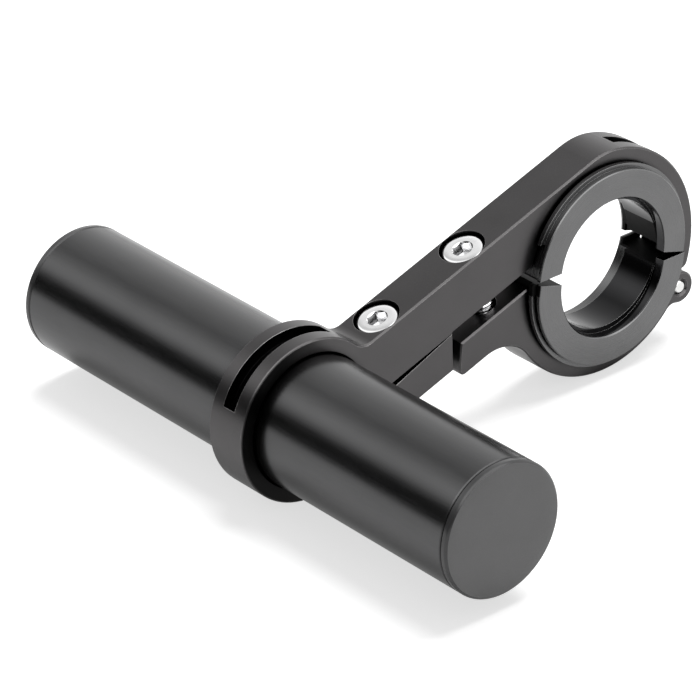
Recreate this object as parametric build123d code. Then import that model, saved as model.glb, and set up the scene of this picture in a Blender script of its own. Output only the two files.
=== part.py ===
from build123d import *
import os
from math import asin, atan2, cos, degrees, hypot, radians, sin, sqrt

# Bicycle handlebar extender. A hinged clamp grips the handlebar, a sloping arm
# reaches away from it, and a ring at the arm's end grips a short accessory tube.
# The origin is the handlebar's axis in the arm's middle plane. +Y runs along the
# handlebar, +X from the accessory tube towards the handlebar, and +Z is up.
# Lengths are in millimetres and angles in degrees.

# The bar and the tube that the part holds
bar_diameter = 22.2
tube_diameter = 22.2
tube_length = 102.0
tube_wall = 1.5
tube_offset = 3.7            # tube's middle from the arm's middle plane, along Y
tube_edge = 0.2

# The arm between the two rings
reach = 61.0                 # tube axis to handlebar axis, along X
arm_width = 8.0
arm_thickness = 9.4
edge_chamfer = 0.25
neck_radius = 3.0
crown_radius = 12.0

# The ring round the tube, closed by a screw through its lug
tube_fit = 0.05
tube_ring_wall = 2.55
lug_length = 29.0            # tube axis to the lug's end face, along X
slit_width = 0.95
slit_end_width = 0.12
slit_taper_from = 16.5       # from the tube axis, along the arm
lug_fillet = 2.0

# The ring round the handlebar's shims
clamp_bore_diameter = 31.8
clamp_ring_wall = 3.8
mouth_fillet = 1.0
split_gap = 0.4              # between the two halves, beside the hinge
split_corner = 1.5

# The hinged jaw
jaw_gap = 3.0                # arm's underside to the jaw's top
jaw_thickness = 5.75
jaw_end_gap = 1.2
jaw_fillet = 7.5
jaw_corner = 1.0
jaw_lip_fillet = 0.5

# The hinge
pin_diameter = 2.4
pin_fit = 0.05
pin_press = 0.01
pin_angle = -31.5
pin_stand_out = 0.4          # pin's centre outside the clamp ring's own circle
pin_inset = 0.15             # pin's ends below the cheeks' faces
pin_sink = 0.35
pin_edge = 0.3
ear_radius = 2.75
ear_crown = 0.15             # the ears' crowns above the jaw's end face
ear_fillet = 2.0
tongue_width = 2.7
tongue_radius = 2.4
tongue_side_gap = 0.1
tongue_end_gap = 0.3

# Grooves cut round the outside of both rings
groove_width = 2.8
tube_groove_depth = 1.9
tube_groove_from = 61.0
tube_groove_to = 158.0
clamp_groove_depth = 2.3
clamp_groove_from = -6.0
clamp_groove_to = 77.0

# Cap screws
screw_diameter = 4.0
screw_head_diameter = 7.0
screw_head_height = 4.0
screw_head_sink = 0.4        # head's top below the arm's top
screw_head_edge = 0.45
socket_across_flats = 3.0
socket_depth = 2.0
socket_lead_in = 0.3
screw_tip = 0.4
counterbore_diameter = 7.6
clearance_hole = 4.5
thread_fit = 0.05
jaw_hole_play = 0.4
tube_screw_at = 19.3         # from the tube axis, along the arm
clamp_screw_back = 21.7      # from the clamp axis, back along the arm
tube_screw_length = 10.0
clamp_screw_length = 12.0

# Shims between the clamp ring and the bar
shim_fit = 0.15
shim_bore_chamfer = 0.2
flange_spread = 0.9          # each shim's flanges beyond the ring's axis, up or down
rear_bore_step = 1.1         # the bore's far end is wider than the bar by this, all round
rear_bore_depth = 2.6
flange_radius = 15.9
lip_radius = 16.6
flange_gap = 0.5             # arm's face to the front flange
flange_lip = 0.75
flange_groove = 0.4
flange_groove_depth = 0.5
flange_plate = 0.7
flange_edge = 0.15
rear_flange_gap = 0.2
rear_flange_plate = 0.8
shim_split_angle = 171.0
shim_gap = 0.7               # at the arm's side, between the shims' rims
shim_hinge_gap = 0.16
shim_bevel = 17.0
shim_window = 3.6            # height of the opening between the barrels, beside the hinge
shim_window_rise = 0.75      # its middle above the split
lip_cut_height = 8.6         # the upper shim's lip ends here, beside the arm

# End caps pushed into the tube
cap_head = 1.4
cap_edge = 0.55
cap_depth = 8.0
cap_sleeve_wall = 1.4
cap_fit = 0.05

# Sizes that follow from those above
half_width = arm_width / 2
tube_radius = tube_diameter / 2
tube_bore = tube_radius + tube_fit
tube_ring_radius = tube_bore + tube_ring_wall
clamp_bore = clamp_bore_diameter / 2
clamp_radius = clamp_bore + clamp_ring_wall
tube_x = -reach
tube_z = tube_ring_radius - clamp_radius
crown_rise = clamp_radius - tube_z
arm_slope = degrees(atan2(crown_rise, reach) - asin(arm_thickness / 2 / hypot(reach, crown_rise)))
arm_top = arm_thickness / 2
arm_bottom = -arm_thickness / 2
arm_run = -tube_x * cos(radians(arm_slope)) - tube_z * sin(radians(arm_slope))
axis_rise = -tube_x * sin(radians(arm_slope)) + tube_z * cos(radians(arm_slope))
clamp_screw_at = arm_run - clamp_screw_back
lug_end_x = tube_x + lug_length
pin_circle = clamp_radius + pin_stand_out
pin_x = pin_circle * cos(radians(pin_angle))
pin_z = pin_circle * sin(radians(pin_angle))
jaw_split = pin_angle + degrees(asin((ear_radius - ear_crown) / pin_circle))
upper_split = jaw_split + degrees(split_gap / clamp_radius)
screw_seat = arm_top - screw_head_sink - screw_head_height
jaw_top = arm_bottom - jaw_gap
jaw_bottom = jaw_top - jaw_thickness
far = 3 * reach               # beyond everything, for cutting shapes
overlap = 0.2                 # how far joined solids run into each other
touching = 0.0001

ARM_FRAME = Location((tube_x, tube_z, 0), (0, 0, arm_slope))
TUBE_CENTRE = Pos(tube_x, tube_z)
PIN_CENTRE = Pos(pin_x, pin_z)


def around(radius, angle, centre=(0.0, 0.0)):
    """Point on a circle, as (x, z)."""
    return (centre[0] + radius * cos(radians(angle)), centre[1] + radius * sin(radians(angle)))


def on_arm(along, across):
    """Point in the arm's own frame, as (x, z): along from the tube axis, across above the arm's axis."""
    slope = radians(arm_slope)
    x = tube_x + along * cos(slope) - across * sin(slope)
    z = tube_z + along * sin(slope) + across * cos(slope)
    return (x, z)


def span(x0, x1, y0, y1):
    """Rectangle between two corners."""
    return Pos((x0 + x1) / 2, (y0 + y1) / 2) * Rectangle(x1 - x0, y1 - y0)


def outline(points):
    """Straight-sided face through a loop of points."""
    return make_face(Polyline(*points, close=True))


def sector(inner, outer, start, end):
    """Part of a flat ring about the sketch's origin, between two angles."""
    size = end - start
    rim = CenterArc((0, 0), outer, start, size)
    bore = CenterArc((0, 0), inner, start, size)
    return make_face(rim + bore + Line(bore @ 0, rim @ 0) + Line(rim @ 1, bore @ 1))


def rounded(sketch, at, radius):
    """Sketch with the corner nearest to a point rounded."""
    corner = sketch.vertices().sort_by_distance(Vector(at[0], at[1], 0))[0]
    return fillet(corner, radius)


def slab(sketch, width, centre=0.0):
    """Sketch stood up in the XZ plane and thickened to a width, centred at a place along Y."""
    return Pos(0, centre, 0) * extrude(Plane.XZ * sketch, amount=width / 2, both=True)


def turned(points):
    """Solid of revolution about Y from a loop of (radius, y) points."""
    return revolve(make_face(Polyline(*points, close=True)), Axis.Y)


def rim_edges(solid, width):
    """Edges of the two flat side faces, without the clamp bore's edges, which the shims' flanges cover."""
    edges = []
    for edge in solid.edges():
        box = edge.bounding_box()
        in_bore = edge.geom_type == GeomType.CIRCLE and abs(edge.radius - clamp_bore) < touching
        if abs(abs(box.min.Y) - width / 2) < touching and box.size.Y < touching and not in_bore:
            edges.append(edge)
    return edges


def screw_place(along):
    """Frame of a screw: origin on the arm's axis, Z along the screw towards its head."""
    x, z = on_arm(along, 0)
    slope = radians(arm_slope)
    along_arm = (cos(slope), 0, sin(slope))
    out_of_arm = (-sin(slope), 0, cos(slope))
    return Plane(origin=(x, 0, z), x_dir=along_arm, z_dir=out_of_arm).location


def rod(radius, low, high):
    """Cylinder along Z between two heights."""
    return Pos(0, 0, (low + high) / 2) * Cylinder(radius, high - low)


# Profiles in the XZ plane
def upper_profile():
    """The arm, the tube ring with its lug, and the clamp ring's upper half, as one face."""
    region = outline([on_arm(arm_run - far, arm_top), on_arm(arm_run + far, arm_top),
                      around(far, upper_split), (0, 0), on_arm(arm_run, arm_bottom),
                      on_arm(arm_run - far, arm_bottom)])
    upper_half = Circle(clamp_radius) & region
    beam = ARM_FRAME * span(0, arm_run, arm_bottom, arm_top)
    lug = (ARM_FRAME * span(0, arm_run, -tube_bore, arm_bottom)) & span(tube_x, lug_end_x, -far, far)
    face = upper_half + beam + TUBE_CENTRE * Circle(tube_ring_radius) + lug
    neck = arm_slope + degrees(asin(arm_top / tube_ring_radius))
    face = rounded(face, around(tube_ring_radius, neck, (tube_x, tube_z)), neck_radius)
    heel = arm_slope - degrees(asin(tube_bore / tube_ring_radius))
    face = rounded(face, around(tube_ring_radius, heel, (tube_x, tube_z)), lug_fillet)
    crest = arm_slope + degrees(asin((axis_rise + arm_top) / clamp_radius))
    face = rounded(face, around(clamp_radius, crest), crown_radius)
    face = rounded(face, around(clamp_radius, upper_split), split_corner)
    face = face - TUBE_CENTRE * Circle(tube_bore) - Circle(clamp_bore)
    mouth = arm_slope + 180 - degrees(asin((axis_rise + arm_bottom) / clamp_bore))
    return rounded(face, around(clamp_bore, mouth), mouth_fillet)


def jaw_profile():
    """The jaw, the clamp ring's lower half and the hinge's ear, as one face."""
    region = outline([on_arm(arm_run - far, jaw_top), on_arm(arm_run, jaw_top), (0, 0),
                      around(far, jaw_split), (far, -far), (-far, -far)])
    lower_half = Circle(clamp_radius) & region
    swing = pin_x - lug_end_x - jaw_end_gap
    bar = (ARM_FRAME * span(0, arm_run, jaw_bottom, jaw_top)) & (PIN_CENTRE * Circle(swing))
    face = lower_half + bar + PIN_CENTRE * Circle(ear_radius)
    elbow_turn = asin((axis_rise + jaw_bottom) / clamp_radius)
    elbow = arm_slope + 180 - degrees(elbow_turn)
    tip = pin_run() - sqrt(swing ** 2 - (axis_rise + jaw_bottom - pin_rise()) ** 2)
    underside = -clamp_radius * cos(elbow_turn) - tip
    face = rounded(face, around(clamp_radius, elbow), min(jaw_fillet, underside - 2 * jaw_corner))
    face = rounded(face, on_arm(arm_run + tip, jaw_bottom), jaw_corner)
    spread = degrees(asin(ear_radius / pin_circle))
    face = rounded(face, around(clamp_radius, pin_angle - spread), ear_fillet)
    face = face - Circle(clamp_bore) - PIN_CENTRE * Circle(pin_diameter / 2 + pin_fit)
    lip = arm_slope + 180 - degrees(asin((axis_rise + jaw_top) / clamp_bore))
    return rounded(face, around(clamp_bore, lip), jaw_lip_fillet)


def pin_run():
    """The hinge pin's place along the arm, from the clamp axis."""
    return pin_x * cos(radians(arm_slope)) + pin_z * sin(radians(arm_slope))


def pin_rise():
    """The hinge pin's height across the arm, from the clamp axis."""
    return -pin_x * sin(radians(arm_slope)) + pin_z * cos(radians(arm_slope))


# Pieces
def arm_body():
    """Arm, tube ring and upper clamp half, with the hinge's tongue."""
    body = slab(upper_profile(), arm_width)
    body = chamfer(rim_edges(body, arm_width), edge_chamfer)
    tongue = sector(clamp_bore, clamp_radius, pin_angle, 0) + PIN_CENTRE * Circle(tongue_radius)
    tongue = tongue - Circle(clamp_bore) - PIN_CENTRE * Circle(pin_diameter / 2 + pin_press)
    body = body + slab(tongue, tongue_width)
    pocket_corner = (lug_end_x - on_arm(0, arm_bottom)[0]) / cos(radians(arm_slope))
    slit = ARM_FRAME * outline([(0, arm_bottom), (pocket_corner + slit_width, arm_bottom),
                                (pocket_corner + slit_width, arm_bottom - slit_end_width),
                                (pocket_corner, arm_bottom - slit_end_width),
                                (slit_taper_from, arm_bottom - slit_width), (0, arm_bottom - slit_width)])
    body = body - slab(slit, far)
    tube_floor = tube_ring_radius - tube_groove_depth
    tube_groove = sector(tube_floor, 2 * tube_ring_radius, tube_groove_from, tube_groove_to)
    body = body - slab(TUBE_CENTRE * tube_groove, groove_width)
    clamp_floor = clamp_radius - clamp_groove_depth
    clamp_groove = sector(clamp_floor, 2 * clamp_radius, clamp_groove_from, clamp_groove_to)
    body = body - slab(clamp_groove, groove_width)
    for along in (tube_screw_at, clamp_screw_at):
        body = body - screw_place(along) * rod(counterbore_diameter / 2, screw_seat, far)
        body = body - screw_place(along) * rod(clearance_hole / 2, arm_bottom - slit_end_width, screw_seat)
    return body - screw_place(tube_screw_at) * rod(screw_diameter / 2 + thread_fit, -far, 0)


def lower_jaw():
    """Jaw and lower clamp half, forked round the hinge's tongue."""
    body = slab(jaw_profile(), arm_width)
    body = chamfer(rim_edges(body, arm_width), edge_chamfer)
    slot_turn = degrees((tongue_end_gap + split_gap) / clamp_bore)
    fork = sector(clamp_bore / 2, 2 * clamp_radius, pin_angle - slot_turn, 0)
    fork = fork + PIN_CENTRE * Circle(tongue_radius + tongue_end_gap)
    body = body - slab(fork, tongue_width + 2 * tongue_side_gap)
    hole = rod(screw_diameter / 2 + jaw_hole_play, -far, (arm_bottom + jaw_top) / 2)
    body = body - screw_place(clamp_screw_at) * hole
    hole_radius = pin_diameter / 2 + pin_fit
    for side in (-1, 1):
        sink = Rot(-90 * side, 0, 0) * Cone(hole_radius, hole_radius + pin_sink, pin_sink)
        body = body - Pos(pin_x, side * (half_width - pin_sink / 2), pin_z) * sink
    return body


def hinge_pin():
    """Plain pin through the jaw's ears and the arm's tongue, with broken ends."""
    length = arm_width - 2 * pin_inset
    pin = Cylinder(pin_diameter / 2, length)
    pin = chamfer(pin.edges().filter_by(GeomType.CIRCLE), pin_edge)
    return Pos(pin_x, 0, pin_z) * Rot(90, 0, 0) * pin


def cap_screw(along, length):
    """Socket cap screw, with its head's underside on the seat."""
    head = rod(screw_head_diameter / 2, 0, screw_head_height)
    head = chamfer(head.edges().group_by(Axis.Z)[-1], screw_head_edge)
    floor = screw_head_height - socket_depth
    hexagon = RegularPolygon(socket_across_flats / 2, 6, major_radius=False)
    socket = Pos(0, 0, floor) * extrude(hexagon, socket_depth)
    reach_in = socket_across_flats / sqrt(3)
    lead_in = Pos(0, 0, screw_head_height - socket_lead_in / 2) * Cone(
        reach_in - socket_lead_in, reach_in, socket_lead_in)
    shank = rod(screw_diameter / 2, -length, overlap)
    shank = chamfer(shank.edges().group_by(Axis.Z)[0], screw_tip)
    screw = head + shank - socket - lead_in
    return screw_place(along) * Pos(0, 0, screw_seat) * screw


def shim_ring(upper):
    """A whole flanged bush, from which one shim is split. Its flanges lie a little off the ring's axis."""
    bore = bar_diameter / 2
    barrel = clamp_bore - shim_fit
    lip = -half_width - flange_gap
    groove = lip - flange_lip
    plate = groove - flange_groove
    front = plate - flange_plate
    rear_lip = half_width + rear_flange_gap
    rear = rear_lip + rear_flange_plate
    step = rear - rear_bore_depth
    body = turned([(0, front), (flange_radius - flange_edge, front), (flange_radius, front + flange_edge),
                   (flange_radius, groove), (lip_radius, groove), (lip_radius, lip), (0, lip)])
    if not upper:
        groove_floor = flange_radius - flange_groove_depth
        body = body - turned([(groove_floor, plate), (far, plate), (far, groove), (groove_floor, groove)])
    body = body - turned([(0, front), (bore + shim_bore_chamfer, front), (bore, front + shim_bore_chamfer),
                          (bore, lip), (0, lip)])
    body = body + turned([(0, rear_lip), (flange_radius, rear_lip), (flange_radius, rear), (0, rear)])
    wide = bore + rear_bore_step
    hole = turned([(0, front), (bore, front), (bore, step), (wide, step), (wide, rear), (0, rear)])
    bush = Pos(0, 0, flange_spread if upper else -flange_spread) * body
    bush = bush + turned([(0, lip), (barrel, lip), (barrel, rear_lip), (0, rear_lip)]) - hole
    hinge_rim = around(flange_radius, shim_split_angle - 180)
    window = hinge_rim[1] + shim_window_rise
    window = span(0, far, window - shim_window / 2, window + shim_window / 2)
    return bush - slab(window, rear_lip - lip, (rear_lip + lip) / 2)


def tan_deg(angle):
    """Tangent of an angle in degrees."""
    return sin(radians(angle)) / cos(radians(angle))


def shim_half(upper):
    """Face that holds one shim's side of the split."""
    sign = 1 if upper else -1
    arm_rim = around(flange_radius, shim_split_angle)
    hinge_rim = around(flange_radius, shim_split_angle - 180)
    depth = flange_radius - bar_diameter / 2 + shim_gap
    drop = depth * tan_deg(shim_bevel)
    level_gap = shim_gap / 2 if upper else shim_hinge_gap / 2
    bevel_gap = shim_hinge_gap / 2 if upper else shim_gap / 2
    level_side = arm_rim if upper else hinge_rim
    bevel_side = hinge_rim if upper else arm_rim
    out = -1 if upper else 1
    level_z = level_side[1] + sign * level_gap
    bevel_z = bevel_side[1] + sign * bevel_gap
    return outline([(level_side[0] + out * far, level_z), (level_side[0] - out * depth, level_z), (0, 0),
                    (bevel_side[0] + out * depth, bevel_z + sign * drop), (bevel_side[0], bevel_z),
                    (bevel_side[0] - out * far, bevel_z), (-out * far, sign * far), (out * far, sign * far)])


def upper_shim():
    """Shim under the clamp ring's upper half. Its lip stops short of the mouth."""
    shim = shim_ring(True) & slab(shim_half(True), far)
    lip_low = -half_width - flange_gap - flange_lip
    cut = sector(clamp_bore - shim_fit, 2 * flange_radius, 0, 180)
    cut = cut & span(-far, 0, 0, lip_cut_height)
    return shim - slab(cut, flange_lip + flange_groove, lip_low + (flange_lip - flange_groove) / 2)


def lower_shim():
    """Shim in the jaw."""
    return shim_ring(False) & slab(shim_half(False), far)


def extension_tube():
    """Accessory tube, open until its caps go in."""
    tube = Cylinder(tube_radius, tube_length)
    tube = chamfer(tube.edges().filter_by(GeomType.CIRCLE), tube_edge)
    tube = tube - Cylinder(tube_radius - tube_wall, 2 * tube_length)
    return Pos(tube_x, tube_offset, tube_z) * Rot(90, 0, 0) * tube


def end_cap(side):
    """Plug with a full-width head. side is -1 for the near end and 1 for the far one."""
    head = rod(tube_radius, 0, cap_head)
    head = chamfer(head.edges().group_by(Axis.Z)[-1], cap_edge)
    sleeve_radius = tube_radius - tube_wall - cap_fit
    sleeve = rod(sleeve_radius, -cap_depth, overlap) - rod(sleeve_radius - cap_sleeve_wall, -far, 0)
    place = Pos(tube_x, tube_offset + side * tube_length / 2, tube_z)
    return place * Rot(-90 * side, 0, 0) * (head + sleeve)


pieces = {
    "arm_body": arm_body(),
    "lower_jaw": lower_jaw(),
    "hinge_pin": hinge_pin(),
    "tube_screw": cap_screw(tube_screw_at, tube_screw_length),
    "clamp_screw": cap_screw(clamp_screw_at, clamp_screw_length),
    "upper_shim": upper_shim(),
    "lower_shim": lower_shim(),
    "extension_tube": extension_tube(),
    "end_cap_near": end_cap(-1),
    "end_cap_far": end_cap(1),
}

os.makedirs("parts", exist_ok=True)
for name, shape in pieces.items():
    export_step(shape, f"parts/{name}.step")
    size = shape.bounding_box().size
    print(f"{name}: {shape.volume / 1000:.2f} cm3, {size.X:.1f} x {size.Y:.1f} x {size.Z:.1f} mm")
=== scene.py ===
import math

import bpy
import bmesh
from mathutils import Matrix, Vector


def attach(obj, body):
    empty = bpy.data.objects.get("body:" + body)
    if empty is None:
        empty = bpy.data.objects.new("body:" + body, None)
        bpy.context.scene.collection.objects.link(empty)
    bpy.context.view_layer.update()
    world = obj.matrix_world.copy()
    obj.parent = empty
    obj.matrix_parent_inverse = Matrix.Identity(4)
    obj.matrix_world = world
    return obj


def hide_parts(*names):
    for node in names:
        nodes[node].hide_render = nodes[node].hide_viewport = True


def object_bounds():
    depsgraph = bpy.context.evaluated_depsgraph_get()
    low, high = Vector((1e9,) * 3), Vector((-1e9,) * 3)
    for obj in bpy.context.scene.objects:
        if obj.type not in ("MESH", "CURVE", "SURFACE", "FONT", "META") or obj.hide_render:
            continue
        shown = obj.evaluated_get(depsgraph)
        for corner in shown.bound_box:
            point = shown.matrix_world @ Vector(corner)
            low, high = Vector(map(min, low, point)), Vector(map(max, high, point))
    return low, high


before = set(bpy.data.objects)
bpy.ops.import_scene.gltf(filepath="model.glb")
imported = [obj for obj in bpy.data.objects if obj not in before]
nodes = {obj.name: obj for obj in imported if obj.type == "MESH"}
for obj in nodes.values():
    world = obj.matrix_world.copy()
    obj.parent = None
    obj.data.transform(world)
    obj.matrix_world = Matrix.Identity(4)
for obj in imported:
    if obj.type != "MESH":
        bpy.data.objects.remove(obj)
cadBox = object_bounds()
scene = bpy.context.scene
mm = 0.001
floorHeight = cadBox[0].z
tubeX = -61.0      # the accessory tube's line, in mm
tubeZ = -6.0
print("frame loaded:", len(nodes), "CAD nodes")

# Camera: the photograph's viewpoint, in the frame's metres
view = {
    "place": (-0.41007, -0.45101, 0.31121),
    "right": (0.77105568, -0.63610589, -0.02902471),
    "up": (0.32133104, 0.34934011, 0.88017490),
    "lens": 217.22,
}


def makeCamera(view):
    right = Vector(view["right"]).normalized()
    up = Vector(view["up"]).normalized()
    back = right.cross(up)
    turn = Matrix((right, up, back)).transposed().to_4x4()
    lensData = bpy.data.cameras.new("studioCamera")
    lensData.lens = view["lens"]
    lensData.sensor_width = 36.0
    lensData.clip_start = 0.01
    lensData.clip_end = 20.0
    camera = bpy.data.objects.new("studioCamera", lensData)
    camera.matrix_world = Matrix.Translation(Vector(view["place"])) @ turn
    scene.collection.objects.link(camera)
    scene.camera = camera


makeCamera(view)
scene.view_settings.view_transform = "Standard"
print("camera set")


# Small helpers for node trees
def addNode(tree, kind, **values):
    node = tree.nodes.new(kind)
    for name, value in values.items():
        setattr(node, name, value)
    return node


def plug(tree, source, socket):
    # A number goes on the socket, anything else is linked to it
    if isinstance(source, (int, float)):
        socket.default_value = source
    else:
        tree.links.new(source, socket)


def mathNode(tree, operation, first, second=0.0, third=0.0, clamp=False):
    node = addNode(tree, "ShaderNodeMath", operation=operation, use_clamp=clamp)
    for socket, source in zip(node.inputs, (first, second, third)):
        plug(tree, source, socket)
    return node.outputs["Value"]


def rangeNode(tree, source, fromLow, fromHigh, toLow, toHigh, smooth=False):
    node = addNode(tree, "ShaderNodeMapRange")
    if smooth:
        node.interpolation_type = "SMOOTHSTEP"
    for name, value in (("From Min", fromLow), ("From Max", fromHigh), ("To Min", toLow), ("To Max", toHigh)):
        plug(tree, value, node.inputs[name])
    tree.links.new(source, node.inputs["Value"])
    return node.outputs["Result"]


def splitNode(tree, vector):
    node = tree.nodes.new("ShaderNodeSeparateXYZ")
    tree.links.new(vector, node.inputs["Vector"])
    return node.outputs["X"], node.outputs["Y"], node.outputs["Z"]


def lengthNode(tree, across, up):
    # Square root of across squared plus up squared
    square = mathNode(tree, "MULTIPLY_ADD", across, across, mathNode(tree, "MULTIPLY", up, up))
    return mathNode(tree, "SQRT", square)


def noiseNode(tree, coords, grain, detail=3.0, roughness=0.5, squash=None):
    # grain is the pattern's size in metres
    if squash:
        mapping = addNode(tree, "ShaderNodeMapping")
        mapping.inputs["Scale"].default_value = squash
        tree.links.new(coords, mapping.inputs["Vector"])
        coords = mapping.outputs["Vector"]
    noise = addNode(tree, "ShaderNodeTexNoise")
    noise.inputs["Scale"].default_value = 1.0 / grain
    noise.inputs["Detail"].default_value = detail
    noise.inputs["Roughness"].default_value = roughness
    tree.links.new(coords, noise.inputs["Vector"])
    return noise.outputs["Fac"]


def mixColour(tree, factor, first, second, blend="MIX"):
    node = addNode(tree, "ShaderNodeMix", data_type="RGBA", blend_type=blend)
    plug(tree, factor, node.inputs["Factor"])
    for socket, source in ((node.inputs["A"], first), (node.inputs["B"], second)):
        if isinstance(source, (tuple, list)):
            socket.default_value = (*source[:3], 1.0)
        else:
            tree.links.new(source, socket)
    return node.outputs["Result"]


# Stage
stageLook = {
    "floorSize": 6.0,
    "floorColour": (0.7, 0.7, 0.7),
    "floorGlow": 0.66,         # seen by the camera only
    "farGlow": 0.84,           # the same beyond the lamp's reach
    "lampReach": (0.35, 1.0),
    "floorShine": 0.3,         # seen in reflections only
    "softLevel": 0.35,         # world's level on the object's matt surfaces
    "skyLevel": 1.25,          # seen by the camera: white over the backdrop's 0.8 grey
    "keyPower": 9.0,
    "keySize": 0.7,
    "keyFrom": (0.25, 0.1, 0.8),
    "edgeLight": 2.2,          # soft box high in front, right of the camera: the front edges' thin lines
    "edgeLightAt": (0.1, -0.66, 0.6),
    "edgeLightSpan": (0.72, 0.86),       # cosine of the angle off its middle, at its rim and where full
    # The tent's level by height angle round the tube's line: 0 is to the right, 90 above, 180 to the left
    "tentLevels": (
        (-180, 1.0), (-8, 1.3), (13, 1.75), (29, 1.6), (45, 1.45), (61, 1.2), (77, 1.0), (92, 0.68),
        (107, 1.15), (122, 1.7), (133, 1.6), (142, 0.9), (150, 0.2), (156, 0.05), (178, 0.05), (180, 0.3),
    ),
}


def makeFloor(look):
    mesh = bpy.data.meshes.new("studioFloor")
    half = look["floorSize"] / 2
    corners = [(x * half, y * half, floorHeight) for x, y in ((-1, -1), (1, -1), (1, 1), (-1, 1))]
    mesh.from_pydata(corners, [], [(0, 1, 2, 3)])
    floor = bpy.data.objects.new("studioFloor", mesh)
    scene.collection.objects.link(floor)
    material = bpy.data.materials.new("floorPaper")
    material.use_nodes = True
    tree = material.node_tree
    tree.nodes.clear()
    output = tree.nodes.new("ShaderNodeOutputMaterial")
    paper = tree.nodes.new("ShaderNodeBsdfDiffuse")
    paper.inputs["Color"].default_value = (*look["floorColour"], 1.0)
    glow = tree.nodes.new("ShaderNodeEmission")
    rays = tree.nodes.new("ShaderNodeLightPath")
    away = addNode(tree, "ShaderNodeVectorMath", operation="LENGTH")
    tree.links.new(tree.nodes.new("ShaderNodeTexCoord").outputs["Object"], away.inputs[0])
    levels = (look["floorGlow"], look["farGlow"])
    glowLevel = rangeNode(tree, away.outputs["Value"], *look["lampReach"], *levels, smooth=True)
    direct = mathNode(tree, "MULTIPLY", rays.outputs["Is Camera Ray"], glowLevel)
    glossy = rays.outputs["Is Glossy Ray"]
    mirrored = mathNode(tree, "ADD", glossy, rays.outputs["Is Transmission Ray"], clamp=True)
    plug(tree, mathNode(tree, "MULTIPLY_ADD", mirrored, look["floorShine"], direct), glow.inputs["Strength"])
    both = tree.nodes.new("ShaderNodeAddShader")
    tree.links.new(paper.outputs["BSDF"], both.inputs[0])
    tree.links.new(glow.outputs["Emission"], both.inputs[1])
    tree.links.new(both.outputs["Shader"], output.inputs["Surface"])
    mesh.materials.append(material)


def makeWorld(look):
    world = bpy.data.worlds.new("studioWorld")
    scene.world = world
    world.use_nodes = True
    tree = world.node_tree
    tree.nodes.clear()
    output = tree.nodes.new("ShaderNodeOutputWorld")
    sky = tree.nodes.new("ShaderNodeBackground")
    towards = tree.nodes.new("ShaderNodeTexCoord").outputs["Generated"]
    x, _, z = splitNode(tree, towards)
    # The tent round the object: paper white with a dark gap on the left
    angle = mathNode(tree, "ARCTAN2", z, x)
    place = rangeNode(tree, angle, -math.pi, math.pi, 0.0, 1.0)
    ramp = tree.nodes.new("ShaderNodeValToRGB")
    elements = ramp.color_ramp.elements
    levels = look["tentLevels"]
    top = max(level for degrees, level in levels)
    while len(elements) < len(levels):
        elements.new(0.5)
    for element, (degrees, level) in zip(elements, levels):
        element.position = (degrees + 180) / 360
        element.color = (level / top, level / top, level / top, 1.0)
    tree.links.new(place, ramp.inputs["Fac"])
    tent = mathNode(tree, "MULTIPLY", ramp.outputs["Color"], top)
    box = addNode(tree, "ShaderNodeVectorMath", operation="DOT_PRODUCT")
    box.inputs[1].default_value = Vector(look["edgeLightAt"]).normalized()
    tree.links.new(towards, box.inputs[0])
    span = look["edgeLightSpan"]
    glare = rangeNode(tree, box.outputs["Value"], *span, 0.0, look["edgeLight"], smooth=True)
    tent = mathNode(tree, "ADD", tent, glare)
    rays = tree.nodes.new("ShaderNodeLightPath")
    shiny = addNode(tree, "ShaderNodeMix", data_type="FLOAT")
    tree.links.new(rays.outputs["Is Glossy Ray"], shiny.inputs["Factor"])
    plug(tree, look["softLevel"], shiny.inputs["A"])
    tree.links.new(tent, shiny.inputs["B"])
    direct = rays.outputs["Is Camera Ray"]
    seen = mathNode(tree, "ADD", direct, rays.outputs["Is Transmission Ray"], clamp=True)
    level = addNode(tree, "ShaderNodeMix", data_type="FLOAT")
    tree.links.new(seen, level.inputs["Factor"])
    tree.links.new(shiny.outputs["Result"], level.inputs["A"])
    plug(tree, look["skyLevel"], level.inputs["B"])
    tree.links.new(level.outputs["Result"], sky.inputs["Strength"])
    tree.links.new(sky.outputs["Background"], output.inputs["Surface"])


def makeKey(look):
    lamp = bpy.data.lights.new("studioKey", "AREA")
    lamp.shape = "DISK"
    lamp.size = look["keySize"]
    lamp.energy = look["keyPower"]
    key = bpy.data.objects.new("studioKey", lamp)
    key.location = look["keyFrom"]
    key.rotation_euler = Vector(look["keyFrom"]).to_track_quat("Z", "Y").to_euler()
    key.visible_glossy = False
    key.visible_camera = False
    scene.collection.objects.link(key)


makeFloor(stageLook)
makeWorld(stageLook)
makeKey(stageLook)
print("stage built")


# Finishes
noiseSpan = (0.3, 0.7)     # what a noise pattern mostly keeps within
bumpStrength = 0.5
edgeTurns = (0.97, 0.80)   # cosine between true and softened normal: on a flat, and at an edge


def newMaterial(name):
    material = bpy.data.materials.new(name)
    material.use_nodes = True
    tree = material.node_tree
    tree.nodes.clear()
    output = tree.nodes.new("ShaderNodeOutputMaterial")
    shader = tree.nodes.new("ShaderNodeBsdfPrincipled")
    tree.links.new(shader.outputs["BSDF"], output.inputs["Surface"])
    coords = tree.nodes.new("ShaderNodeTexCoord").outputs["Object"]
    return material, tree, shader, coords


def addBump(tree, shader, height, distance, normal=None):
    bump = addNode(tree, "ShaderNodeBump")
    bump.inputs["Strength"].default_value = bumpStrength
    bump.inputs["Distance"].default_value = distance
    tree.links.new(height, bump.inputs["Height"])
    if normal:
        tree.links.new(normal, bump.inputs["Normal"])
    tree.links.new(bump.outputs["Normal"], shader.inputs["Normal"])


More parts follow.
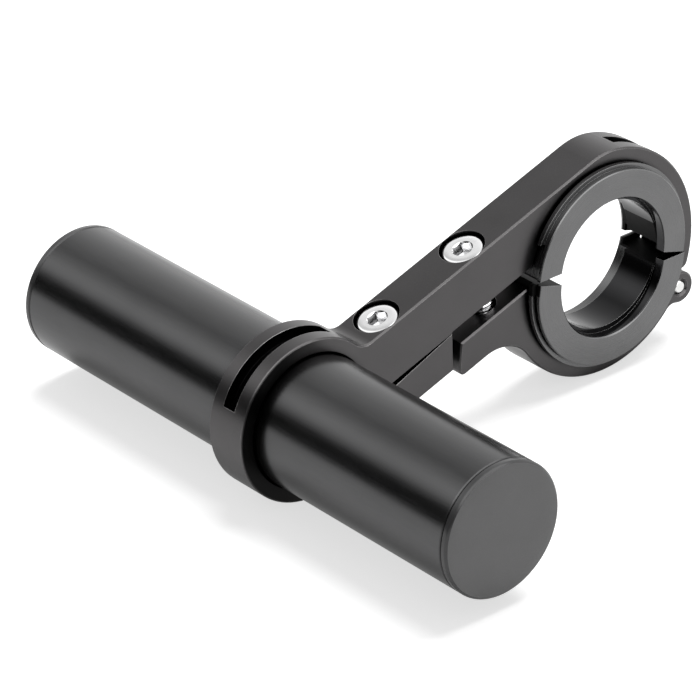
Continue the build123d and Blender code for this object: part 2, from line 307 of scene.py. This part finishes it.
def varied(tree, colour, pattern, change, span=noiseSpan):
    # The colour times a pattern; change is the least and most that it is multiplied by
    return mixColour(tree, 1.0, colour, rangeNode(tree, pattern, *span, *change), "MULTIPLY")


def variedRoughness(tree, pattern, roughness, share, span=noiseSpan):
    return rangeNode(tree, pattern, *span, roughness * (1 - share), roughness * (1 + share))


def edgeMask(tree, radius):
    # 1 where the surface turns within the radius, 0 on flats
    soft = addNode(tree, "ShaderNodeBevel", samples=6)
    soft.inputs["Radius"].default_value = radius
    sharp = tree.nodes.new("ShaderNodeNewGeometry")
    turn = addNode(tree, "ShaderNodeVectorMath", operation="DOT_PRODUCT")
    tree.links.new(soft.outputs["Normal"], turn.inputs[0])
    tree.links.new(sharp.outputs["Normal"], turn.inputs[1])
    mask = rangeNode(tree, turn.outputs["Value"], *edgeTurns, 0.0, 1.0)
    return mask, soft.outputs["Normal"]


def openMask(tree, reach, span):
    # 1 in the open, 0 deep in a groove or hole; the finishes paint shade where it is low
    shade = addNode(tree, "ShaderNodeAmbientOcclusion", samples=8)
    shade.inputs["Distance"].default_value = reach
    return rangeNode(tree, shade.outputs["AO"], *span, 0.0, 1.0, smooth=True)


armLook = {
    "colour": (0.088, 0.085, 0.086),
    # painted highlight on the edges
    "edgeHighlightColour": (0.55, 0.54, 0.54),
    "grazing": (0.92, 0.92, 0.92),       # reflectance kept at glancing angles
    # painted shade in recesses, in the ring grooves and on the ring's face
    "paintedShadeColour": (0.012, 0.012, 0.012),
    "roughness": 0.3,
    "grain": 0.16 * mm,        # bead blasting
    "grainDepth": 0.004 * mm,
    "cloud": 9.0 * mm,         # slow drift of the dye
    "cloudChange": (0.94, 1.06),
    "speckSpan": (0.3, 0.75),
    "speckChange": (0.93, 1.08),
    "roughnessShare": 0.07,
    "edge": 0.13 * mm,
    "highlightPatch": 1.6 * mm,          # patches in which the painted edge highlight is bright or less so
    "highlightPatchSpan": (0.35, 0.65),
    "highlightPatchChange": (0.35, 1.0),
    "recess": 3.0 * mm,
    "recessSpan": (0.32, 0.76),
    # In mm: the groove's axis, its outer radius and where along X it starts, for each ring
    "grooves": ((tubeX, tubeZ, 13.55, -80.0), (0.0, 0.0, 19.55, 4.5)),
    "grooveHalf": 1.42 * mm,
    "ringRadius": 13.6 * mm,
    "ringFace": -3.9 * mm,     # the tube ring's face towards the camera has painted shade on its left
    "ringDark": (3.0 * mm, -6.0 * mm),
    "ringDarkness": 0.85,
}


def grooveShadeMask(tree, coords, look):
    # 1 in the grooves round the rings, which the photo shows black
    # where shade is painted
    x, y, z = splitNode(tree, coords)
    side = mathNode(tree, "LESS_THAN", mathNode(tree, "ABSOLUTE", y), look["grooveHalf"])
    inside = 0.0
    for axisX, axisZ, outer, start in look["grooves"]:
        across = mathNode(tree, "SUBTRACT", x, axisX * mm)
        up = mathNode(tree, "SUBTRACT", z, axisZ * mm)
        near = mathNode(tree, "LESS_THAN", lengthNode(tree, across, up), outer * mm)
        near = mathNode(tree, "MULTIPLY", near, mathNode(tree, "GREATER_THAN", x, start * mm))
        inside = mathNode(tree, "MAXIMUM", inside, near)
    return mathNode(tree, "MULTIPLY", side, inside)


def ringFaceShadeMask(tree, coords, look):
    # 1 on the left part of the tube ring's front face, where shade is painted
    x, y, z = splitNode(tree, coords)
    across = mathNode(tree, "SUBTRACT", x, tubeX * mm)
    up = mathNode(tree, "SUBTRACT", z, tubeZ * mm)
    near = mathNode(tree, "LESS_THAN", lengthNode(tree, across, up), look["ringRadius"])
    front = mathNode(tree, "LESS_THAN", y, look["ringFace"])
    left = rangeNode(tree, across, *look["ringDark"], 0.0, 1.0, smooth=True)
    return mathNode(tree, "MULTIPLY", mathNode(tree, "MULTIPLY", near, front), left)


def makeArmFinish(look):
    material, tree, shader, coords = newMaterial("satinAnodised")
    shader.inputs["Metallic"].default_value = 1.0
    shader.inputs["Specular Tint"].default_value = (*look["grazing"], 1.0)
    cloud = noiseNode(tree, coords, look["cloud"])
    grain = noiseNode(tree, coords, look["grain"], detail=2.0, roughness=0.6)
    edge, softNormal = edgeMask(tree, look["edge"])
    body = varied(tree, look["colour"], cloud, look["cloudChange"])
    body = varied(tree, body, grain, look["speckChange"], look["speckSpan"])
    highlightPatches = rangeNode(tree, noiseNode(tree, coords, look["highlightPatch"]), *look["highlightPatchSpan"], *look["highlightPatchChange"])
    # painted highlight along the edges, brighter in some patches than in others
    body = mixColour(tree, mathNode(tree, "MULTIPLY", edge, highlightPatches), body, look["edgeHighlightColour"])
    # painted shade in recesses, from ambient occlusion
    body = mixColour(tree, openMask(tree, look["recess"], look["recessSpan"]), look["paintedShadeColour"], body)
    # painted shade: the grooves round the rings nearly black
    body = mixColour(tree, grooveShadeMask(tree, coords, look), body, look["paintedShadeColour"])
    # painted shade on the left of the tube ring's front face
    ringDark = mathNode(tree, "MULTIPLY", ringFaceShadeMask(tree, coords, look), look["ringDarkness"])
    body = mixColour(tree, ringDark, body, look["paintedShadeColour"])
    tree.links.new(body, shader.inputs["Base Color"])
    rough = variedRoughness(tree, cloud, look["roughness"], look["roughnessShare"])
    tree.links.new(rough, shader.inputs["Roughness"])
    addBump(tree, shader, grain, look["grainDepth"], softNormal)
    return material


tubeLook = {
    "colour": (0.09, 0.09, 0.091),
    "roughness": 0.23,
    "streak": 0.25 * mm,       # drawing lines along the tube
    "streakLength": 22.0,      # times their width
    "streakDepth": 0.0015 * mm,
    "streakChange": (0.95, 1.05),
    "streakSpan": (0.25, 0.75),
    "roughnessShare": 0.12,
    "drift": 14.0 * mm,
    "driftChange": (0.96, 1.04),
    # reach of the painted shade beside the ring
    "recess": 6.0 * mm,        # darker beside the ring, as in the photo
    "recessSpan": (0.6, 0.9),
    "paintedShadeColour": (0.012, 0.012, 0.012),
    "grazing": (0.88, 0.88, 0.88),
}


def makeTubeFinish(look):
    material, tree, shader, coords = newMaterial("glossAnodised")
    shader.inputs["Metallic"].default_value = 1.0
    shader.inputs["Specular Tint"].default_value = (*look["grazing"], 1.0)
    squash = (1.0, 1 / look["streakLength"], 1.0)
    streaks = noiseNode(tree, coords, look["streak"], detail=3.0, roughness=0.6, squash=squash)
    drift = noiseNode(tree, coords, look["drift"], detail=2.0)
    body = varied(tree, look["colour"], streaks, look["streakChange"])
    body = varied(tree, body, drift, look["driftChange"])
    # painted shade beside the ring and in recesses, from ambient occlusion
    body = mixColour(tree, openMask(tree, look["recess"], look["recessSpan"]), look["paintedShadeColour"], body)
    tree.links.new(body, shader.inputs["Base Color"])
    rough = variedRoughness(tree, streaks, look["roughness"], look["roughnessShare"], look["streakSpan"])
    tree.links.new(rough, shader.inputs["Roughness"])
    addBump(tree, shader, streaks, look["streakDepth"])
    return material


shimLook = {
    "colour": (0.155, 0.155, 0.156),
    "boreShadeColour": (0.032, 0.032, 0.033),
    "bandShadeColour": (0.1, 0.1, 0.1),
    # painted highlight on the edges
    "edgeHighlightColour": (0.36, 0.36, 0.36),
    "roughness": 0.27,
    "boreRoughness": 0.14,
    "faceFrom": -6.3 * mm,     # front faces of the flanges
    "boreRadius": 12.0 * mm,
    "bandFrom": 2.3 * mm,      # the bore's painted shade is lighter behind this
    "turning": 0.11 * mm,      # pitch of the tool marks
    "turningDepth": 0.0005 * mm,
    "turningChange": (0.97, 1.03),
    "cloud": 5.0 * mm,
    "cloudChange": (0.96, 1.04),
    "roughnessShare": 0.1,
    "edge": 0.09 * mm,
    "edgeShare": 0.6,
    "recess": 2.5 * mm,
    "recessSpan": (0.3, 0.62),
    # Places with painted shade, also made rougher, in mm: the split on the arm's side and the window beside
    # the hinge
    "shadedMatteBoxes": (((-20.0, -6.25, 0.2), (-10.8, 9.0, 3.1)), ((9.5, -4.7, -3.9), (17.0, 4.7, 3.9))),
    "shimShadeColour": (0.012, 0.012, 0.012),
    "dullRoughness": 0.6,
}


def boxMask(tree, axes, boxes):
    # 1 inside any of the boxes, whose corners are in mm
    inside = 0.0
    for low, high in boxes:
        within = 1.0
        for axis, least, most in zip(axes, low, high):
            above = mathNode(tree, "GREATER_THAN", axis, least * mm)
            below = mathNode(tree, "LESS_THAN", axis, most * mm)
            within = mathNode(tree, "MULTIPLY", within, mathNode(tree, "MULTIPLY", above, below))
        inside = mathNode(tree, "MAXIMUM", inside, within)
    return inside


def makeShimFinish(look):
    material, tree, shader, coords = newMaterial("turnedAnodised")
    shader.inputs["Metallic"].default_value = 1.0
    x, y, z = splitNode(tree, coords)
    radius = lengthNode(tree, z, x)
    rings = tree.nodes.new("ShaderNodeCombineXYZ")
    tree.links.new(radius, rings.inputs["X"])
    tree.links.new(y, rings.inputs["Y"])
    marks = noiseNode(tree, rings.outputs["Vector"], look["turning"], detail=2.0, roughness=0.7)
    cloud = noiseNode(tree, coords, look["cloud"])
    edge, softNormal = edgeMask(tree, look["edge"])
    behind = mathNode(tree, "GREATER_THAN", y, look["faceFrom"])
    inner = mathNode(tree, "MULTIPLY", behind, mathNode(tree, "LESS_THAN", radius, look["boreRadius"]))
    band = mathNode(tree, "MULTIPLY", inner, mathNode(tree, "GREATER_THAN", y, look["bandFrom"]))
    # painted shade in the bore, lighter towards its far end
    body = mixColour(tree, inner, look["colour"], look["boreShadeColour"])
    body = mixColour(tree, band, body, look["bandShadeColour"])
    body = varied(tree, body, marks, look["turningChange"])
    body = varied(tree, body, cloud, look["cloudChange"])
    # painted highlight along the edges
    body = mixColour(tree, mathNode(tree, "MULTIPLY", edge, look["edgeShare"]), body, look["edgeHighlightColour"])
    # painted shade in recesses, from ambient occlusion
    body = mixColour(tree, openMask(tree, look["recess"], look["recessSpan"]), look["shimShadeColour"], body)
    # painted shade in the boxes, which are also made rougher below
    shadedMatte = boxMask(tree, (x, y, z), look["shadedMatteBoxes"])
    body = mixColour(tree, shadedMatte, body, look["shimShadeColour"])
    tree.links.new(body, shader.inputs["Base Color"])
    rough = variedRoughness(tree, marks, look["roughness"], look["roughnessShare"])
    shiny = rangeNode(tree, inner, 0.0, 1.0, 1.0, look["boreRoughness"] / look["roughness"])
    rough = mathNode(tree, "MULTIPLY", rough, shiny)
    dullRough = mathNode(tree, "MULTIPLY", shadedMatte, look["dullRoughness"])
    tree.links.new(mathNode(tree, "MAXIMUM", rough, dullRough), shader.inputs["Roughness"])
    addBump(tree, shader, marks, look["turningDepth"], softNormal)
    return material


plasticLook = {
    "colour": (0.135, 0.135, 0.136),
    "roughness": 0.3,
    "grain": 0.12 * mm,        # spark-eroded mould
    "grainDepth": 0.006 * mm,
    "grainChange": (0.92, 1.08),
    "cloud": 7.0 * mm,
    "cloudChange": (0.95, 1.05),
    "roughnessShare": 0.07,
    "rimRadius": 10.72 * mm,   # the head's side and chamfer have painted shade, darker than its face
    "rimShadeColour": (0.045, 0.045, 0.046),
    "rimRoughness": 0.2,
}


def makePlasticFinish(look):
    material, tree, shader, coords = newMaterial("capPlastic")
    grain = noiseNode(tree, coords, look["grain"], detail=3.0, roughness=0.6)
    cloud = noiseNode(tree, coords, look["cloud"])
    body = varied(tree, look["colour"], grain, look["grainChange"])
    body = varied(tree, body, cloud, look["cloudChange"])
    x, _, z = splitNode(tree, coords)
    across = mathNode(tree, "SUBTRACT", x, tubeX * mm)
    up = mathNode(tree, "SUBTRACT", z, tubeZ * mm)
    rim = mathNode(tree, "GREATER_THAN", lengthNode(tree, across, up), look["rimRadius"])
    # painted shade on the head's side and chamfer
    body = mixColour(tree, rim, body, look["rimShadeColour"])
    tree.links.new(body, shader.inputs["Base Color"])
    rough = variedRoughness(tree, grain, look["roughness"], look["roughnessShare"])
    smoother = rangeNode(tree, rim, 0.0, 1.0, 1.0, look["rimRoughness"] / look["roughness"])
    tree.links.new(mathNode(tree, "MULTIPLY", rough, smoother), shader.inputs["Roughness"])
    addBump(tree, shader, grain, look["grainDepth"])
    return material


polish = {
    "mark": 0.09 * mm,
    "markDepth": 0.001 * mm,
    "cloud": 1.5 * mm,
    "cloudChange": (0.95, 1.03),
    "roughnessShare": 0.2,
}
chromeLook = {
    "colour": (0.95, 0.95, 0.955),
    "roughness": 0.13,
    "paintedShadeColour": (0.42, 0.42, 0.425),
    "recess": 2.2 * mm,
    "recessSpan": (0.3, 0.75),
}
pinLook = {
    "colour": (0.75, 0.75, 0.74),
    "roughness": 0.2,
    "paintedShadeColour": (0.1, 0.1, 0.1),
    "recess": 0.6 * mm,
    "recessSpan": (0.2, 0.75),
}


def makeBrightFinish(name, look):
    # Plated or plain steel: fine polishing marks, with painted shade in recesses
    material, tree, shader, coords = newMaterial(name)
    shader.inputs["Metallic"].default_value = 1.0
    marks = noiseNode(tree, coords, polish["mark"], detail=2.0, roughness=0.6)
    cloud = noiseNode(tree, coords, polish["cloud"])
    body = varied(tree, look["colour"], cloud, polish["cloudChange"])
    # painted shade in recesses, from ambient occlusion
    body = mixColour(tree, openMask(tree, look["recess"], look["recessSpan"]), look["paintedShadeColour"], body)
    tree.links.new(body, shader.inputs["Base Color"])
    rough = variedRoughness(tree, marks, look["roughness"], polish["roughnessShare"])
    tree.links.new(rough, shader.inputs["Roughness"])
    addBump(tree, shader, marks, polish["markDepth"])
    return material


armFinish = makeArmFinish(armLook)
tubeFinish = makeTubeFinish(tubeLook)
shimFinish = makeShimFinish(shimLook)
plasticFinish = makePlasticFinish(plasticLook)
chromeFinish = makeBrightFinish("chromePlate", chromeLook)
pinFinish = makeBrightFinish("pinSteel", pinLook)
finishes = {
    "arm_body": armFinish, "lower_jaw": armFinish, "hinge_pin": pinFinish,
    "upper_shim": shimFinish, "lower_shim": shimFinish, "extension_tube": tubeFinish,
}
for name, finish in finishes.items():
    nodes[name].data.materials.clear()
    nodes[name].data.materials.append(finish)
print("finishes made for", len(finishes), "CAD nodes")


# Cap screws, made by one Geometry Nodes tree
screwLook = {
    "headRadius": 3.5 * mm,
    "headHeight": 4.0 * mm,
    "rimRound": 0.55 * mm,
    "knurlDepth": 0.05 * mm,
    "socketRadius": 3.0 / math.sqrt(3) * mm,
    "socketDepth": 2.0 * mm,
    "leadIn": 0.3 * mm,
    "coreRadius": 1.62 * mm,
    "threadRadius": 1.94 * mm,
    "threadPitch": 0.7 * mm,
    "ribs": 48.0,              # knurling round the head
    "drillRadius": 0.84,       # the drilled floor, in shares of the socket's radius
    "drillHeight": 0.5,
    "drillSink": 0.48,         # how far its tip is below the socket's floor
    "threadTop": 0.7,          # plain shank under the head, in pitches
    "threadLess": 1.2,         # thread shorter than the shank, in pitches
    "ridgeMiddle": 0.1,        # the thread's round profile, in shares of its height
    "ridgeRadius": 0.9,
    "headMesh": (96, 32, 4),   # sides, rows up the side and rings on the ends
    "drillSides": 48,
    "mouthSides": 64,
    "coreSides": 48,
    "coilSteps": 40,
    "threadSides": 8,
}
screwInputs = {
    # the tree's input and its key above
    "Head Radius": "headRadius",
    "Head Height": "headHeight",
    "Rim Round": "rimRound",
    "Knurl Depth": "knurlDepth",
    "Socket Radius": "socketRadius",
    "Socket Depth": "socketDepth",
    "Lead In": "leadIn",
    "Core Radius": "coreRadius",
    "Thread Radius": "threadRadius",
    "Thread Pitch": "threadPitch",
}
screwPlaces = {
    # name, body, node, head's seat, shank length
    "tubeScrew": ("tube_screw", "tube_screw", (-42.8236, 0, 0.4960), 10.0),
    "clampScrew": ("clamp_screw", "clamp_screw", (-25.1326, 0, 6.5090), 12.0),
}
screwLine = (-0.321845, 0.0, 0.946792)


def screwTree(look):
    tree = bpy.data.node_groups.new("capScrewTree", "GeometryNodeTree")
    face = tree.interface
    face.new_socket("Geometry", in_out="INPUT", socket_type="NodeSocketGeometry")
    face.new_socket("Geometry", in_out="OUTPUT", socket_type="NodeSocketGeometry")
    for name in (*screwInputs, "Shank Length"):
        face.new_socket(name, in_out="INPUT", socket_type="NodeSocketFloat")
    face.new_socket("Material", in_out="INPUT", socket_type="NodeSocketMaterial")
    given = tree.nodes.new("NodeGroupInput").outputs
    result = tree.nodes.new("NodeGroupOutput")

    def number(operation, first, second=0.0):
        return mathNode(tree, operation, first, second)

    def vector(x, y, z):
        node = tree.nodes.new("ShaderNodeCombineXYZ")
        for socket, source in zip(node.inputs, (x, y, z)):
            plug(tree, source, socket)
        return node.outputs["Vector"]

    def raised(geometry, height):
        node = tree.nodes.new("GeometryNodeTransform")
        tree.links.new(geometry, node.inputs["Geometry"])
        tree.links.new(vector(0.0, 0.0, height), node.inputs["Translation"])
        return node.outputs["Geometry"]

    # Head: a cylinder whose top rim is rounded and whose side is knurled
    head = addNode(tree, "GeometryNodeMeshCylinder")
    sides, rows, rings = look["headMesh"]
    head.inputs["Vertices"].default_value = sides
    head.inputs["Side Segments"].default_value = rows
    head.inputs["Fill Segments"].default_value = rings
    plug(tree, given["Head Radius"], head.inputs["Radius"])
    plug(tree, given["Head Height"], head.inputs["Depth"])
    lifted = raised(head.outputs["Mesh"], number("MULTIPLY", given["Head Height"], 0.5))
    x, y, z = splitNode(tree, tree.nodes.new("GeometryNodeInputPosition").outputs["Position"])
    start = number("SUBTRACT", given["Head Height"], given["Rim Round"])
    rise = number("DIVIDE", number("SUBTRACT", z, start), given["Rim Round"])
    rise = number("MINIMUM", number("MAXIMUM", rise, 0.0), 1.0)
    drop = number("SUBTRACT", 1.0, number("SQRT", number("SUBTRACT", 1.0, number("MULTIPLY", rise, rise))))
    inward = number("MULTIPLY", drop, given["Rim Round"])
    wave = number("COSINE", number("MULTIPLY", number("ARCTAN2", y, x), look["ribs"]))
    rib = number("MULTIPLY", number("SUBTRACT", wave, 1.0), -0.5)
    rib = number("MULTIPLY", number("MULTIPLY", rib, given["Knurl Depth"]), number("SUBTRACT", 1.0, rise))
    inward = number("ADD", inward, rib)
    scale = number("SUBTRACT", 1.0, number("DIVIDE", inward, given["Head Radius"]))
    shaped = tree.nodes.new("GeometryNodeSetPosition")
    tree.links.new(lifted, shaped.inputs["Geometry"])
    scaled = vector(number("MULTIPLY", x, scale), number("MULTIPLY", y, scale), z)
    tree.links.new(scaled, shaped.inputs["Position"])

    # Hexagon socket with a drilled floor and a lead-in
    hexagon = addNode(tree, "GeometryNodeMeshCylinder")
    hexagon.inputs["Vertices"].default_value = 6
    plug(tree, given["Socket Radius"], hexagon.inputs["Radius"])
    plug(tree, number("MULTIPLY", given["Socket Depth"], 2.0), hexagon.inputs["Depth"])
    hexagonUp = raised(hexagon.outputs["Mesh"], given["Head Height"])
    drill = addNode(tree, "GeometryNodeMeshCone")
    drill.inputs["Vertices"].default_value = look["drillSides"]
    plug(tree, number("MULTIPLY", given["Socket Radius"], look["drillRadius"]), drill.inputs["Radius Top"])
    plug(tree, 0.0, drill.inputs["Radius Bottom"])
    plug(tree, number("MULTIPLY", given["Socket Radius"], look["drillHeight"]), drill.inputs["Depth"])
    floor = number("SUBTRACT", given["Head Height"], given["Socket Depth"])
    sink = number("MULTIPLY", given["Socket Radius"], look["drillSink"])
    drillUp = raised(drill.outputs["Mesh"], number("SUBTRACT", floor, sink))
    mouth = addNode(tree, "GeometryNodeMeshCone")
    mouth.inputs["Vertices"].default_value = look["mouthSides"]
    plug(tree, number("ADD", given["Socket Radius"], given["Lead In"]), mouth.inputs["Radius Top"])
    plug(tree, number("SUBTRACT", given["Socket Radius"], given["Lead In"]), mouth.inputs["Radius Bottom"])
    plug(tree, number("MULTIPLY", given["Lead In"], 2.0), mouth.inputs["Depth"])
    mouthUp = raised(mouth.outputs["Mesh"], number("SUBTRACT", given["Head Height"], given["Lead In"]))
    cutHead = addNode(tree, "GeometryNodeMeshBoolean", operation="DIFFERENCE", solver="EXACT")
    tree.links.new(shaped.outputs["Geometry"], cutHead.inputs["Mesh 1"])
    for cutter in (hexagonUp, drillUp, mouthUp):
        tree.links.new(cutter, cutHead.inputs["Mesh 2"])

    # Shank: a core with the thread wound round it
    core = addNode(tree, "GeometryNodeMeshCylinder")
    core.inputs["Vertices"].default_value = look["coreSides"]
    plug(tree, given["Core Radius"], core.inputs["Radius"])
    plug(tree, given["Shank Length"], core.inputs["Depth"])
    coreDown = raised(core.outputs["Mesh"], number("MULTIPLY", given["Shank Length"], -0.5))
    coil = addNode(tree, "GeometryNodeCurveSpiral")
    coil.inputs["Resolution"].default_value = look["coilSteps"]
    less = number("MULTIPLY", given["Thread Pitch"], look["threadLess"])
    run = number("SUBTRACT", given["Shank Length"], less)
    plug(tree, number("DIVIDE", run, given["Thread Pitch"]), coil.inputs["Rotations"])
    ridge = number("SUBTRACT", given["Thread Radius"], given["Core Radius"])
    middle = number("ADD", given["Core Radius"], number("MULTIPLY", ridge, look["ridgeMiddle"]))
    plug(tree, middle, coil.inputs["Start Radius"])
    plug(tree, middle, coil.inputs["End Radius"])
    plug(tree, run, coil.inputs["Height"])
    profile = addNode(tree, "GeometryNodeCurvePrimitiveCircle", mode="RADIUS")
    profile.inputs["Resolution"].default_value = look["threadSides"]
    plug(tree, number("MULTIPLY", ridge, look["ridgeRadius"]), profile.inputs["Radius"])
    thread = tree.nodes.new("GeometryNodeCurveToMesh")
    thread.inputs["Fill Caps"].default_value = True
    tree.links.new(coil.outputs["Curve"], thread.inputs["Curve"])
    tree.links.new(profile.outputs["Curve"], thread.inputs["Profile Curve"])
    down = number("MULTIPLY", run, -1.0)
    below = number("MULTIPLY", given["Thread Pitch"], -look["threadTop"])
    threadDown = raised(thread.outputs["Mesh"], number("ADD", down, below))

    joined = tree.nodes.new("GeometryNodeJoinGeometry")
    for part in (threadDown, coreDown, cutHead.outputs["Mesh"]):
        tree.links.new(part, joined.inputs["Geometry"])
    realized = tree.nodes.new("GeometryNodeRealizeInstances")
    tree.links.new(joined.outputs["Geometry"], realized.inputs["Geometry"])
    dressed = tree.nodes.new("GeometryNodeSetMaterial")
    tree.links.new(realized.outputs["Geometry"], dressed.inputs["Geometry"])
    tree.links.new(given["Material"], dressed.inputs["Material"])
    tree.links.new(dressed.outputs["Geometry"], result.inputs["Geometry"])
    return tree


def plainMesh(holder, name):
    # The evaluated result as a mesh of its own, without the modifier
    graph = bpy.context.evaluated_depsgraph_get()
    mesh = bpy.data.meshes.new_from_object(holder.evaluated_get(graph))
    mesh.name = name
    bpy.data.objects.remove(holder)
    return mesh


def smoothByAngle(mesh, degrees):
    # Doubled points are welded, faces smooth, and edges sharper than the angle stay sharp
    weldReach = 0.0004 * mm
    shape = bmesh.new()
    shape.from_mesh(mesh)
    bmesh.ops.remove_doubles(shape, verts=shape.verts, dist=weldReach)
    bmesh.ops.recalc_face_normals(shape, faces=shape.faces)
    for face in shape.faces:
        face.smooth = True
    limit = math.radians(degrees)
    for edge in shape.edges:
        edge.smooth = len(edge.link_faces) == 2 and edge.calc_face_angle(0.0) < limit
    shape.to_mesh(mesh)
    shape.free()


def makeScrew(tree, name, look, place):
    body, node, seat, length = place
    holder = bpy.data.objects.new(name + "Maker", bpy.data.meshes.new(name + "Maker"))
    scene.collection.objects.link(holder)
    modifier = holder.modifiers.new("capScrew", "NODES")
    modifier.node_group = tree
    values = {socket: look[key] for socket, key in screwInputs.items()}
    values["Shank Length"] = length * mm
    values["Material"] = chromeFinish
    for item in tree.interface.items_tree:
        if item.name in values:
            modifier[item.identifier] = values[item.name]
    mesh = plainMesh(holder, name)
    line = Vector(screwLine).normalized()
    along = Vector((line.z, 0, -line.x))
    turn = Matrix((along, line.cross(along), line)).transposed().to_4x4()
    mesh.transform(Matrix.Translation(Vector(seat) * mm) @ turn)
    smoothByAngle(mesh, degrees=35)
    screw = bpy.data.objects.new(name, mesh)
    scene.collection.objects.link(screw)
    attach(screw, body)
    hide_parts(node)
    print(name, "made with", len(mesh.polygons), "faces")


capScrewTree = screwTree(screwLook)
for name, place in screwPlaces.items():
    makeScrew(capScrewTree, name, screwLook, place)


# End caps: plugs with full-width heads, turned round the tube's line
capLook = {
    "radius": 11.1,
    "head": 1.4,
    "edgeCut": 0.34,           # chamfer between face and side
    "edgeRound": 0.12,
    "dish": 0.03,              # the face is this much lower at its rim
    "dishSteps": 6,
    "joint": 0.16,             # groove where head meets tube
    "jointDepth": 0.25,
    "seat": 0.02,              # the head's back, off the tube's end
    "sleeveRadius": 9.55,
    "sleeveWall": 1.4,
    "sleeveEdge": 0.4,
    "depth": 8.0,
    "segments": 160,
    "tubeEnds": (-47.3, 54.7),
}


def capProfile(look):
    # (radius, height) points from the face's middle to the plug's hollow, height 0 at the tube's end
    top = look["head"]
    cut = look["edgeCut"]
    soft = look["edgeRound"]
    rim = look["radius"]
    steps = look["dishSteps"]
    points = [(0.0, top)]
    points += [((rim - cut - soft) * step / steps, top - look["dish"] * (step / steps) ** 4)
               for step in range(1, steps + 1)]
    # The chamfer, its two corners rounded by three points each
    low = top - look["dish"]
    points += [(rim - cut - soft * 0.35, low - soft * 0.12), (rim - cut + soft * 0.3, low - soft * 0.55)]
    points += [(rim - soft * 0.55, top - cut + soft * 0.3), (rim - soft * 0.12, top - cut - soft * 0.35)]
    points += [(rim, top - cut - soft)]
    # The joint with the tube, then the sleeve and its hollow
    joint = look["joint"]
    seat = look["seat"]
    outer = look["sleeveRadius"]
    inner = outer - look["sleeveWall"]
    edge = look["sleeveEdge"]
    depth = look["depth"]
    points += [(rim, joint * 2), (rim - joint, joint), (rim - look["jointDepth"], seat), (outer, seat)]
    points += [(outer, edge - depth), (outer - edge, -depth)]
    points += [(inner, -depth), (inner, -edge), (inner - edge, 0.0), (0.0, 0.0)]
    return points


def lathe(name, points, segments):
    # Closed turned shape round Z; the first and last points are on the axis
    shape = bmesh.new()
    loops = []
    turns = [2 * math.pi * i / segments for i in range(segments)]
    for radius, height in points[1:-1]:
        loops.append([shape.verts.new((radius * math.cos(turn), radius * math.sin(turn), height))
                      for turn in turns])
    first = shape.verts.new((0, 0, points[0][1]))
    last = shape.verts.new((0, 0, points[-1][1]))
    for i in range(segments):
        after = (i + 1) % segments
        shape.faces.new((first, loops[0][i], loops[0][after]))
        for low, high in zip(loops, loops[1:]):
            shape.faces.new((low[i], high[i], high[after], low[after]))
        shape.faces.new((last, loops[-1][after], loops[-1][i]))
    mesh = bpy.data.meshes.new(name)
    shape.to_mesh(mesh)
    shape.free()
    return mesh


def makeCap(name, side, look):
    mesh = lathe(name, capProfile(look), look["segments"])
    end = look["tubeEnds"][0 if side < 0 else 1]
    outward = Matrix.Rotation(math.radians(-90 * side), 4, "X")
    mesh.transform(Matrix.Scale(mm, 4) @ Matrix.Translation((tubeX, end, tubeZ)) @ outward)
    smoothByAngle(mesh, degrees=30)
    mesh.materials.append(plasticFinish)
    cap = bpy.data.objects.new(name, mesh)
    scene.collection.objects.link(cap)
    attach(cap, "tube")
    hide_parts("end_cap_near" if side < 0 else "end_cap_far")
    print(name, "made with", len(mesh.polygons), "faces")


makeCap("endCapNear", -1, capLook)
makeCap("endCapFar", 1, capLook)
